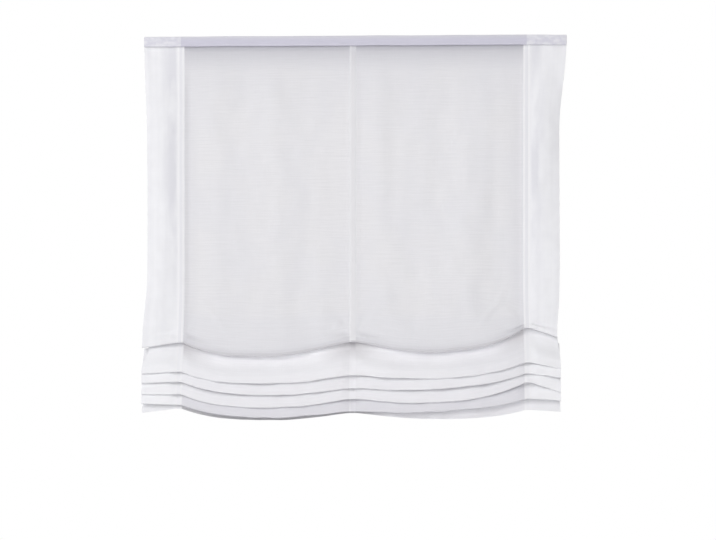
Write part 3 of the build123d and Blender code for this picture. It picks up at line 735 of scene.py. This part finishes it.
def sheer_voile(folds, cloth):
    """Sheer white voile with slubs across it: part threads, part light from behind, part open weave."""
    material, tree = new_material("sheer_voile")
    uv = tree.node("ShaderNodeUVMap").outputs["UV"]
    parts = tree.split(uv)
    across = parts["X"]
    down = tree.times(parts["Y"], -1.0)
    from_middle = tree.math("ABSOLUTE", across)
    from_side_tape = tree.away(from_middle, TAPE_X)
    from_tape = tree.math("MINIMUM", from_middle, from_side_tape)
    first_lip, second_lip, _, fourth_lip, last_lip = (lip_run(folds, fold) for fold in range(FOLD_COUNT))

    # Where the cloth is doubled by a hem, backed by a tape or stacked in folds.
    doubled = tree.ramp(from_middle, DOUBLED, HALF_WIDTH - cloth.side_hem)
    taped = tree.ramp(from_tape, BACKED_BY_TAPE, TAPE_HALF)
    stacked = tree.ramp(down, STACKED, first_lip)
    backed_up = tree.largest(doubled, taped)
    between_hems = tree.ramp(doubled, BETWEEN_HEMS)
    fold_panel = tree.times(stacked, between_hems)

    # The panel: threads, cooler clouds, painted shade at its head, beside the tapes and over its lowest part,
    # and a painted shade line along its folded lip.
    warp = tree.streaks(uv, *WARP)
    cloud = tree.streaks(uv, *CLOUD)
    slubs = tree.times(tree.streaks(uv, *SLUB), SLUB_SHARE)
    threads = tree.add(slubs, tree.times(tree.streaks(uv, *WEFT), WEFT_SHARE))
    pale = tree.ramp(threads, PALE_THREAD)
    # Cooler patches at random, and painted shade over the panel's lowest part, where the folds hang behind
    # it.
    cloud_and_fold_shade = tree.largest(tree.ramp(cloud, CLOUDED), tree.ramp(down, FOLDS_BEHIND, first_lip))
    near_head = tree.ramp(down, HEAD_NEAR, unit=cloth.band_height)
    head_shade = tree.add(near_head, tree.ramp(down, HEAD_FAR, unit=cloth.band_height))
    head_shade = tree.largest(head_shade, tree.ramp(from_middle, BESIDE_TAPE, TAPE_X))
    tape_show = tree.times(taped, tree.ramp(down, TAPE_LIT, unit=cloth.band_height))
    # A painted shade line along the first lip's folded edge.
    lip_shade_line = tree.times(tree.strip(down, first_lip + LIP_EDGE_PAST, LIP_EDGE_HALF), LIP_EDGE_SHARE)

    # The stacked folds, with painted shade lower down, towards the right and in the pockets under the first
    # lip, fading out again over the hem strip, and painted shade along the hem's lower edge.
    low_second = tree.ramp(down, LOW_FROM_SECOND, second_lip)
    lower = tree.add(low_second, tree.ramp(down, LOW_FROM_FOURTH, fourth_lip))
    lower = tree.largest(lower, tree.ramp(across, LOW_AT_RIGHT))
    lower = tree.times(lower, tree.ramp(down, ABOVE_HEM, last_lip), fold_panel)
    pocket = tree.ramp(down, POCKET_DOWN, first_lip)
    pocket = tree.times(pocket, tree.ramp(from_tape, POCKET_ACROSS), fold_panel)
    # Painted shade along the hem's lower edge, strongest on the left and in the middle.
    hem_rim = tree.ramp(down, HEM_RIM, cloth_run(folds))
    hem_rim = tree.times(hem_rim, between_hems, tree.ramp(across, HEM_RIM_ACROSS))

    # The side hems, with their mottle, painted crease shade on their inner part beside the tapes, a darker
    # strip between each side tape's seams, and the seams.
    stripes = tree.times(tree.streaks(uv, *HEM_STRIPES), MOTTLE_SHARE)
    blotches = tree.times(tree.streaks(uv, *HEM_BLOTCHES), MOTTLE_SHARE)
    mottle = tree.ramp(tree.add(stripes, blotches), MOTTLED)
    hemmed = tree.times(doubled, tree.largest(mottle, stacked))
    inner_hem_shade = tree.ramp(from_middle, HEM_SHADE_START, TAPE_X)
    inner_hem_shade = tree.times(inner_hem_shade, tree.ramp(from_middle, HEM_SHADE_END, TAPE_X))
    patches = tree.ramp(tree.streaks(uv, *HEM_PATCHES), PATCHED)
    # Painted crease shade on the upper part of that strip, broken up by patches.
    creased = tree.times(inner_hem_shade, tree.ramp(down, HEM_SHADE_DOWN), patches)
    between_seams = tree.ramp(from_side_tape, BETWEEN_SEAMS)
    between_seams = tree.times(between_seams, tree.ramp(stacked, SEAMS_IN_STACK))
    inner_seam = tree.strip(from_middle, TAPE_X - SIDE_SEAM_OUT, SIDE_SEAM_HALF)
    outer_seam = tree.strip(from_middle, TAPE_X + SIDE_SEAM_OUT, SIDE_SEAM_HALF)
    middle_seam = tree.times(tree.strip(across, *MIDDLE_SEAM), MIDDLE_SEAM_SHARE)

    # The colours, each laid over those before it.
    colour = cloth.voile_shade
    for share, over in (
        (pale, cloth.voile),
        (cloud_and_fold_shade, cloth.voile_cloud_and_shade),
        (head_shade, cloth.head_shade),
        (tape_show, cloth.taped),
        (lip_shade_line, cloth.lip_shade_line),
        # The folds, whiter for their layers and painted lighter where they catch the light, with painted
        # shade lower down.
        (stacked, tree.blend(lower, cloth.stacked, cloth.stacked_low)),
        (hemmed, cloth.doubled),
        (creased, cloth.inner_hem_shade),
        (between_seams, cloth.inner_hem_shade),
        (tree.largest(middle_seam, inner_seam, outer_seam), cloth.seam),
        (pocket, cloth.pocket_shade),
        (hem_rim, cloth.hem_edge),
    ):
        colour = tree.blend(share, colour, over)

    # The surface: woven threads, light from behind and the open weave between them.
    normal = tree.bump(tree.add(threads, tree.times(warp, WARP_SHARE)), *WEAVE_BUMP)
    weave = tree.finish({**VOILE_WEAVE, "Base Color": colour, "Normal": normal})
    glow = tree.node("ShaderNodeBsdfTranslucent", {"Color": colour, "Normal": normal}).outputs["BSDF"]
    lined = tree.largest(backed_up, stacked)
    lit = tree.mix(tree.ramp(lined, (0, 1, cloth.glow, cloth.glow / LINED_GLOW_PARTS)), weave, glow)
    gaps = tree.add(tree.times(pale, PALE_OPEN), tree.times(cloud, CLOUD_OPEN))
    gaps = tree.add(gaps, tree.times(warp, WARP_OPEN), cloth.openness - MEAN_OPEN)
    clear = tree.times(gaps, tree.add(tree.times(backed_up, BACKED_OPEN), 1.0))
    tree.show(tree.mix(clear, lit, tree.node("ShaderNodeBsdfTransparent").outputs["BSDF"]))
    return material


# The head band: its noises, ramps and bump.
BAND_THREADS = ((30, 200, 900), 3)
BAND_BLOTCHES = ((70, 70, 110), 2)
BAND_BLOTCH_SHARE = 0.5
BAND_OVER_HEM = (0.007, 0.008, 0, 1)
BAND_UPPER = (-0.3, 0, 0, 0.6)
BAND_PATCHY = (0.35, 0.65, 0.35, 1)
BAND_BUMP = (0.3, 0.0006)
GRAIN = (0.3, 0.7, 0, 1)


def band_cloth(cloth):
    """Several layers of voile over the head: lavender with fine threads, paler and mottled over the hems."""
    material, tree = new_material("band_cloth")
    place = tree.object_place()
    parts = tree.split(place)
    threads = tree.streaks(place, *BAND_THREADS)
    blotches = tree.streaks(place, *BAND_BLOTCHES)
    from_middle = tree.math("ABSOLUTE", parts["X"])
    over_hem = tree.ramp(from_middle, BAND_OVER_HEM, HALF_WIDTH - cloth.side_hem)
    upper = tree.ramp(parts["Z"], BAND_UPPER, CLOTH_TOP, cloth.band_height)
    colour = tree.blend(tree.ramp(threads, GRAIN), cloth.band_shade, cloth.band)
    # Painted light along the band's upper edge.
    colour = tree.blend(upper, colour, cloth.band_top_light)
    colour = tree.blend(tree.times(over_hem, tree.ramp(blotches, BAND_PATCHY)), colour, cloth.band_hem)
    normal = tree.bump(tree.add(threads, tree.times(blotches, BAND_BLOTCH_SHARE)), *BAND_BUMP)
    tree.show(tree.finish({**WEAVE, "Base Color": colour, "Normal": normal}))
    return material


# Finishes: colour, shade, grains in a metre, roughness, grain's depth, metal share and grain's stretch.
POWDER_COAT = ((0.84, 0.84, 0.85), (0.81, 0.81, 0.82), 900, 0.42, 0.0002)
WHITE_PLASTIC = ((0.85, 0.85, 0.84), (0.82, 0.82, 0.81), 420, 0.38, 0.0001)
DRAWN_ALLOY = ((0.72, 0.72, 0.74), (0.62, 0.62, 0.64), 500, 0.34, 0.0001, 1.0, (0.05, 1, 1))
ZINC_PLATE = ((0.78, 0.79, 0.80), (0.66, 0.67, 0.69), 260, 0.4, 0.0001, 1.0)
SEWING_THREAD = (900, 0.7, 0.0001)
THREAD_SHADE_SHARE = 0.9
GRAIN_DETAIL = 3
GRAIN_BUMP = 0.3
ROUGHNESS_PLAY = 0.06

# Weaves: shade as a share of the colour, ribs, grains in a metre and roughness.
TAPE_WEAVE = (0.93, 420, 900, 0.9)
CORD_WEAVE = (0.82, 260, 1400, 0.8)
RIB_DISTORTION = 0.6
RIB_SHARE = 0.6
RIB_SHADES = (0.2, 0.9, 0, 1)
RIB_BUMP = (0.35, 0.0004)
LONG_GRAIN_PARTS = 4
WOVEN_DETAIL = 2
WOVEN_SHEEN = 0.2


def darker(colour, share):
    """A share of a colour."""
    return [value * share for value in colour]


def surface(name, colour, shade, grains, roughness, depth, metallic=0.0, stretch=(1, 1, 1)):
    """A finish with a fine mottle of two colours and a bump of the same grain, on Object coordinates."""
    material, tree = new_material(name)
    grain = tree.streaks(tree.object_place(), [grains * way for way in stretch], GRAIN_DETAIL)
    rough = (*GRAIN[:2], roughness + ROUGHNESS_PLAY, roughness - ROUGHNESS_PLAY)
    tree.show(tree.finish({
        "Base Color": tree.blend(tree.ramp(grain, GRAIN), shade, colour),
        "Roughness": tree.ramp(grain, rough),
        "Normal": tree.bump(grain, GRAIN_BUMP, depth),
        "Metallic": metallic,
    }))
    return material


def woven(name, colour, shade_share, ribs, grains, roughness):
    """A woven tape or braid: fine ribs one way and a looser grain the other."""
    material, tree = new_material(name)
    place = tree.object_place()
    wave_inputs = {"Vector": place, "Scale": ribs, "Distortion": RIB_DISTORTION}
    wave = tree.node("ShaderNodeTexWave", wave_inputs, bands_direction="Z")
    grain = tree.streaks(place, (grains, grains, grains / LONG_GRAIN_PARTS), WOVEN_DETAIL)
    height = tree.add(tree.times(wave.outputs["Fac"], RIB_SHARE), tree.times(grain, RIB_SHARE))
    tree.show(tree.finish({
        "Base Color": tree.blend(tree.ramp(height, RIB_SHADES), darker(colour, shade_share), colour),
        "Roughness": roughness,
        "Sheen Weight": WOVEN_SHEEN,
        "Normal": tree.bump(height, *RIB_BUMP),
    }))
    return material


def dress(obj, material):
    """Gives a finished piece its material and slot, and hangs it on the blind."""
    obj.data.materials.clear()
    obj.data.materials.append(material)
    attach(obj, BODY)


class BLIND_OT_sew_cloth(bpy.types.Operator):
    """Folds the whole sheet of voile into its raised swags"""

    bl_idname = "blind.sew_cloth"
    bl_label = "Sew cloth"

    def execute(self, context):
        folds = context.scene.blind_folds
        cloth = context.scene.blind_cloth
        places = cloth_places(folds, cloth, CLOTH_ACROSS, ROWS, 0)
        sheet = folded_grid("voile_cloth", CLOTH_ACROSS, *places)
        dress(sheet, sheer_voile(folds, cloth))
        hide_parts("blind_cloth")
        return {"FINISHED"}


# The hems: how far from its edge a side hem opens, and the bottom hem's rows and layers.
HEM_FOLD = 0.004
BOTTOM_HEM_STEPS = 6
BOTTOM_HEM_LAYERS = 2


class BLIND_OT_turn_hems(bpy.types.Operator):
    """Turns the side hems and the bottom hem behind the cloth"""

    bl_idname = "blind.turn_hems"
    bl_label = "Turn hems"

    def execute(self, context):
        folds = context.scene.blind_folds
        cloth = context.scene.blind_cloth
        voile = bpy.data.materials["sheer_voile"]
        for side, sign in (("left", -1), ("right", 1)):
            ends = sorted((sign * HALF_WIDTH, sign * (HALF_WIDTH - cloth.side_hem)))
            columns = np.linspace(*ends, SIDE_HEM_COLUMNS + 1)
            opening = np.minimum(np.abs(columns - sign * HALF_WIDTH) / HEM_FOLD, 1)
            layer = cloth_places(folds, cloth, columns, ROWS, -cloth.layer_gap * opening)
            dress(folded_grid("side_hem_" + side, columns, *layer), voile)
        start = 1 - cloth.bottom_hem / (folds.lip_below_ring + folds.hem_show)
        steps = range(BOTTOM_HEM_STEPS + 1)
        rows = [(HEM_STRETCH, start + (1 - start) * step / BOTTOM_HEM_STEPS) for step in steps]
        opening = np.minimum(np.linspace(2, 0, len(rows)), 1)[:, None]
        layer = cloth_places(folds, cloth, CLOTH_ACROSS, rows, -BOTTOM_HEM_LAYERS * cloth.layer_gap * opening)
        dress(folded_grid("bottom_hem", CLOTH_ACROSS, *layer), voile)
        return {"FINISHED"}


# The head band's place, edges and wander.
BAND_BEFORE_TAPE = 0.0008
BAND_EDGE_SHARE = 0.4
BAND_EDGE_SEGMENTS = 3
BAND_CUTS = 100
BAND_EAR = (-0.01, 0.02)
BAND_WANDER_UP = 0.0005
BAND_SEED_UP = 4.4
BAND_WANDER_OUT = 0.0004
BAND_SEED_OUT = 7.9
BAND_SMOOTH_DEGREES = 50


class BLIND_OT_fold_band(bpy.types.Operator):
    """Folds the head band over the cloth's top edge"""

    bl_idname = "blind.fold_band"
    bl_label = "Fold head band"

    def execute(self, context):
        cloth = context.scene.blind_cloth
        left = -HALF_WIDTH - TOP_OUT["left"]
        right = HALF_WIDTH + TOP_OUT["right"]
        middle_y = TAPE_FRONT - BAND_BEFORE_TAPE - cloth.band_thick / 2
        middle_z = CLOTH_TOP + cloth.band_rise - cloth.band_height / 2
        middle = ((left + right) / 2, middle_y, middle_z)
        size = (right - left, cloth.band_thick, cloth.band_height)
        band = added(bpy.ops.mesh.primitive_cube_add, "head_band", size=1, location=middle, scale=size)
        bpy.ops.object.transform_apply(location=True, rotation=True, scale=True)
        bpy.ops.object.mode_set(mode="EDIT")
        bpy.ops.mesh.select_all(action="SELECT")
        rounding = cloth.band_thick * BAND_EDGE_SHARE
        bpy.ops.mesh.bevel(offset=rounding, segments=BAND_EDGE_SEGMENTS, affect="EDGES")
        for place in np.linspace(-HALF_WIDTH, HALF_WIDTH, BAND_CUTS + 2)[1:-1]:
            bpy.ops.mesh.select_all(action="SELECT")
            bpy.ops.mesh.bisect(plane_co=(place, 0, 0), plane_no=(1, 0, 0))
        bpy.ops.object.mode_set(mode="OBJECT")
        for vertex in band.data.vertices:
            looser = 1 + rise(abs(vertex.co.x) - TAPE_X, *BAND_EAR)
            vertex.co.z += BAND_WANDER_UP * ripple(vertex.co.x, BAND_SEED_UP) * looser
            vertex.co.y += BAND_WANDER_OUT * ripple(vertex.co.x, BAND_SEED_OUT) * looser
        only(band)
        bpy.ops.object.shade_smooth_by_angle(angle=math.radians(BAND_SMOOTH_DEGREES))
        dress(band, band_cloth(cloth))
        return {"FINISHED"}


# The stitches' facets, and how far inside its edge each seam runs.
STITCH_SIDES = 6
STITCH_RINGS = 4
STITCH_AHEAD_PARTS = 8
TAPE_SEAM_IN = 0.0015
TAPE_SEAM_SHARE = 0.05
SEAM_ENDS_IN = 0.004
HEM_SEAM_IN = 0.002
BAND_SEAM_IN = 0.003


def stitch_template(cloth):
    """The points and faces of one plump stitch along X, from a small sphere."""
    facets = {"segments": STITCH_SIDES, "ring_count": STITCH_RINGS}
    ball = added(bpy.ops.mesh.primitive_uv_sphere_add, "stitch", **facets, radius=1)
    points = np.array([vertex.co for vertex in ball.data.vertices])
    faces = [tuple(polygon.vertices) for polygon in ball.data.polygons]
    bpy.data.objects.remove(ball)
    thick = points[:, :2] * cloth.thread_radius
    return np.column_stack((points[:, 2] * cloth.stitch_length / 2, thick)), faces


def along_line(line, step):
    """Places and directions at even steps along a line of points."""
    gaps = np.linalg.norm(np.diff(line, axis=0), axis=1)
    run = np.concatenate(([0], np.cumsum(gaps)))
    spots = np.arange(step / 2, run[-1], step)
    places = np.stack([np.interp(spots, run, line[:, way]) for way in range(3)], 1)
    further = spots + step / STITCH_AHEAD_PARTS
    headings = np.stack([np.interp(further, run, line[:, way]) for way in range(3)], 1) - places
    return places, headings / np.maximum(np.linalg.norm(headings, axis=1), TINY)[:, None]


def sew(name, lines, cloth, material):
    """One mesh of stitches along several lines."""
    template, faces = stitch_template(cloth)
    points = []
    polygons = []
    for line in lines:
        for place, heading in zip(*along_line(line, cloth.stitch_step)):
            turn = Vector((1, 0, 0)).rotation_difference(Vector(heading)).to_matrix()
            first = len(points) * len(template)
            points.append(template @ np.array(turn).T + place)
            polygons += [[first + corner for corner in face] for face in faces]
    mesh = bpy.data.meshes.new(name)
    mesh.from_pydata(np.concatenate(points).tolist(), [], polygons)
    obj = bpy.data.objects.new(name, mesh)
    bpy.context.collection.objects.link(obj)
    only(obj)
    bpy.ops.object.shade_smooth()
    dress(obj, material)


class BLIND_OT_stitch(bpy.types.Operator):
    """Stitches the tapes, the side hems, the head band and the bottom hem"""

    bl_idname = "blind.stitch"
    bl_label = "Stitch seams"

    def execute(self, context):
        folds = context.scene.blind_folds
        cloth = context.scene.blind_cloth
        shade = darker(cloth.thread, THREAD_SHADE_SHARE)
        thread = surface("sewing_thread", cloth.thread, shade, *SEWING_THREAD)
        edge = TAPE_HALF - TAPE_SEAM_IN
        below_band = [row for row in ROWS if row[0] > 0 or row[1] > TAPE_SEAM_SHARE]
        for side, place in TAPE_PLACES.items():
            columns = [place - edge, place + edge]
            places, _ = cloth_places(folds, cloth, columns, below_band, cloth.thread_radius / 2)
            sew("tape_stitches_" + side, [places[:, 0], places[:, 1]], cloth, thread)
        columns = np.linspace(-HALF_WIDTH + SEAM_ENDS_IN, HALF_WIDTH - SEAM_ENDS_IN, CLOTH_COLUMNS + 1)
        hem_run = folds.lip_below_ring + folds.hem_show
        row = [(HEM_STRETCH, 1 - (cloth.bottom_hem - HEM_SEAM_IN) / hem_run)]
        places, _ = cloth_places(folds, cloth, columns, row, cloth.thread_radius / 2)
        sew("hem_stitches", [places[0]], cloth, thread)
        front = TAPE_FRONT - BAND_BEFORE_TAPE - cloth.band_thick
        fronts = [front + BAND_WANDER_OUT * ripple(x, BAND_SEED_OUT) for x in columns]
        lines = []
        for drop in (BAND_SEAM_IN, cloth.band_height - BAND_SEAM_IN):
            level = CLOTH_TOP + cloth.band_rise - drop
            lines.append(np.array([(x, y, level) for x, y in zip(columns, fronts)]))
        sew("band_stitches", lines, cloth, thread)
        return {"FINISHED"}


class BLIND_OT_declare_cloth(bpy.types.Operator):
    """Works out the cloth's cut size and lists the pieces sewn to it, but hands neither on"""

    bl_idname = "blind.declare_cloth"
    bl_label = "State cloth size"

    def execute(self, context):
        cut_length = cloth_run(context.scene.blind_folds)
        sewn = ["side_hem_left", "side_hem_right", "bottom_hem", "head_band", "hem_stitches", "band_stitches"]
        sewn += ["tape_stitches_" + side for side in SIDES]
        return {"FINISHED"}


class BLIND_OT_finish_hardware(bpy.types.Operator):
    """Gives the rail, drive, brackets, tapes, rings and cords their finishes"""

    bl_idname = "blind.finish_hardware"
    bl_label = "Finish hardware"

    def execute(self, context):
        cloth = context.scene.blind_cloth
        coat = surface("powder_coat", *POWDER_COAT)
        plastic = surface("white_plastic", *WHITE_PLASTIC)
        zinc = surface("zinc_plate", *ZINC_PLATE)
        finishes = {
            "rail": coat,
            "tape": woven("woven_tape", cloth.tape, *TAPE_WEAVE),
            "ring": plastic,
            "cord": woven("braided_cord", cloth.tape, *CORD_WEAVE),
            "shaft": surface("drawn_alloy", *DRAWN_ALLOY),
            "plastic": plastic,
            "cloth": bpy.data.materials["sheer_voile"],
        }
        for part in frame["record"]["subparts"]:
            node = part["node"]
            metal = coat if node.startswith("bracket") else zinc
            obj = frame["nodes"][node]
            obj.data.materials.clear()
            obj.data.materials.append(finishes.get(part["material_slot"], metal))
        return {"FINISHED"}


# Lamps: place from the cloth's middle, and size. The floor is part plain paper to the camera.
KEY_LAMP = ((-2.6, -3.9, 2.7), 4.0)
FILL_LAMP = ((0.9, -3.3, -0.3), 1.6)
BACK_LAMP = ((1.6, 3.6, 2.4), 3.0)
PAPER_SHARE = 0.5


def lamp(name, aim, place, size, power):
    """A square soft lamp that points at a place, from a place beside it."""
    obj = added(bpy.ops.object.light_add, name, type="AREA", location=aim + Vector(place))
    obj.data.size = size
    obj.data.energy = power
    obj.rotation_mode = "QUATERNION"
    obj.rotation_quaternion = (-Vector(place)).to_track_quat("-Z", "Y")


def show_white(tree, kind, lit, colour):
    """Shows a plain colour to the camera, in gloss and through glass, and the given light elsewhere."""
    path = tree.node("ShaderNodeLightPath").outputs
    seen = tree.largest(path["Is Camera Ray"], path["Is Glossy Ray"], path["Is Transmission Ray"])
    return tree.mix(seen, lit, tree.node(kind, {"Color": colour}).outputs[0])


class BLIND_OT_set_stage(bpy.types.Operator):
    """Lays the floor, hangs the lamps and places the camera"""

    bl_idname = "blind.set_stage"
    bl_label = "Set stage"

    def execute(self, context):
        stage = context.scene.blind_stage
        ground = (0, 0, CLOTH_TOP - stage.floor_drop)
        floor = added(bpy.ops.mesh.primitive_plane_add, "floor", size=stage.floor_size, location=ground)
        material, tree = new_material("pale_floor")
        matt = tree.node("ShaderNodeBsdfDiffuse", {"Color": stage.paper}).outputs["BSDF"]
        tree.show(tree.mix(PAPER_SHARE, matt, show_white(tree, "ShaderNodeEmission", matt, stage.paper)))
        floor.data.materials.append(material)
        world = bpy.data.worlds.new("studio")
        context.scene.world = world
        world.use_nodes = True
        tree = ShaderTree(world.node_tree)
        even = tree.nodes["Background"]
        tree.feed(even.inputs["Color"], stage.paper)
        tree.feed(even.inputs["Strength"], stage.sky_strength)
        sky = show_white(tree, "ShaderNodeBackground", even.outputs[0], stage.paper)
        tree.feed(tree.nodes["World Output"].inputs["Surface"], sky)
        middle = Vector((0, CLOTH_LOW.y, (CLOTH_LOW.z + CLOTH_HIGH.z) / 2))
        lamp("key_lamp", middle, *KEY_LAMP, stage.key_power)
        lamp("fill_lamp", middle, *FILL_LAMP, stage.fill_power)
        lamp("back_lamp", middle, *BACK_LAMP, stage.back_power)
        camera = added(bpy.ops.object.camera_add, "camera")
        eye_z = CLOTH_TOP - stage.eye_drop
        camera.location = (stage.side_step, TAPE_FRONT - stage.distance, eye_z)
        aim = Vector((stage.aim_right, TAPE_FRONT, eye_z))
        camera.rotation_mode = "QUATERNION"
        camera.rotation_quaternion = (aim - camera.location).to_track_quat("-Z", "Y")
        width = 2 * HALF_WIDTH * stage.image_width_px / stage.blind_width_px
        camera.data.lens = camera.data.sensor_width * stage.distance / width
        context.scene.camera = camera
        context.scene.view_settings.view_transform = "Standard"
        return {"FINISHED"}


class BLIND_PT_panel(bpy.types.Panel):
    """Lists the steps that dress the blind"""

    bl_idname = "BLIND_PT_panel"
    bl_label = "Roman Blind"
    bl_space_type = "VIEW_3D"
    bl_region_type = "UI"
    bl_category = "Roman Blind"

    def draw(self, context):
        for step in STEPS:
            self.layout.operator(step.bl_idname)


STEPS = (
    BLIND_OT_set_stage,
    BLIND_OT_sew_cloth,
    BLIND_OT_turn_hems,
    BLIND_OT_fold_band,
    BLIND_OT_stitch,
    BLIND_OT_declare_cloth,
    BLIND_OT_finish_hardware,
)
SETTINGS = {
    "blind_folds": BlindFoldSettings,
    "blind_cloth": BlindClothSettings,
    "blind_stage": BlindStageSettings,
}
CLASSES = (*SETTINGS.values(), *STEPS, BLIND_PT_panel)


def register():
    for cls in CLASSES:
        bpy.utils.register_class(cls)
    for name, group in SETTINGS.items():
        setattr(bpy.types.Scene, name, bpy.props.PointerProperty(type=group))


def unregister():
    for name in SETTINGS:
        delattr(bpy.types.Scene, name)
    for cls in reversed(CLASSES):
        bpy.utils.unregister_class(cls)


def main():
    register()
    bpy.ops.blind.set_stage()
    bpy.ops.blind.sew_cloth()
    bpy.ops.blind.turn_hems()
    bpy.ops.blind.fold_band()
    bpy.ops.blind.stitch()
    bpy.ops.blind.declare_cloth()
    bpy.ops.blind.finish_hardware()


if __name__ == "__main__":
    main()
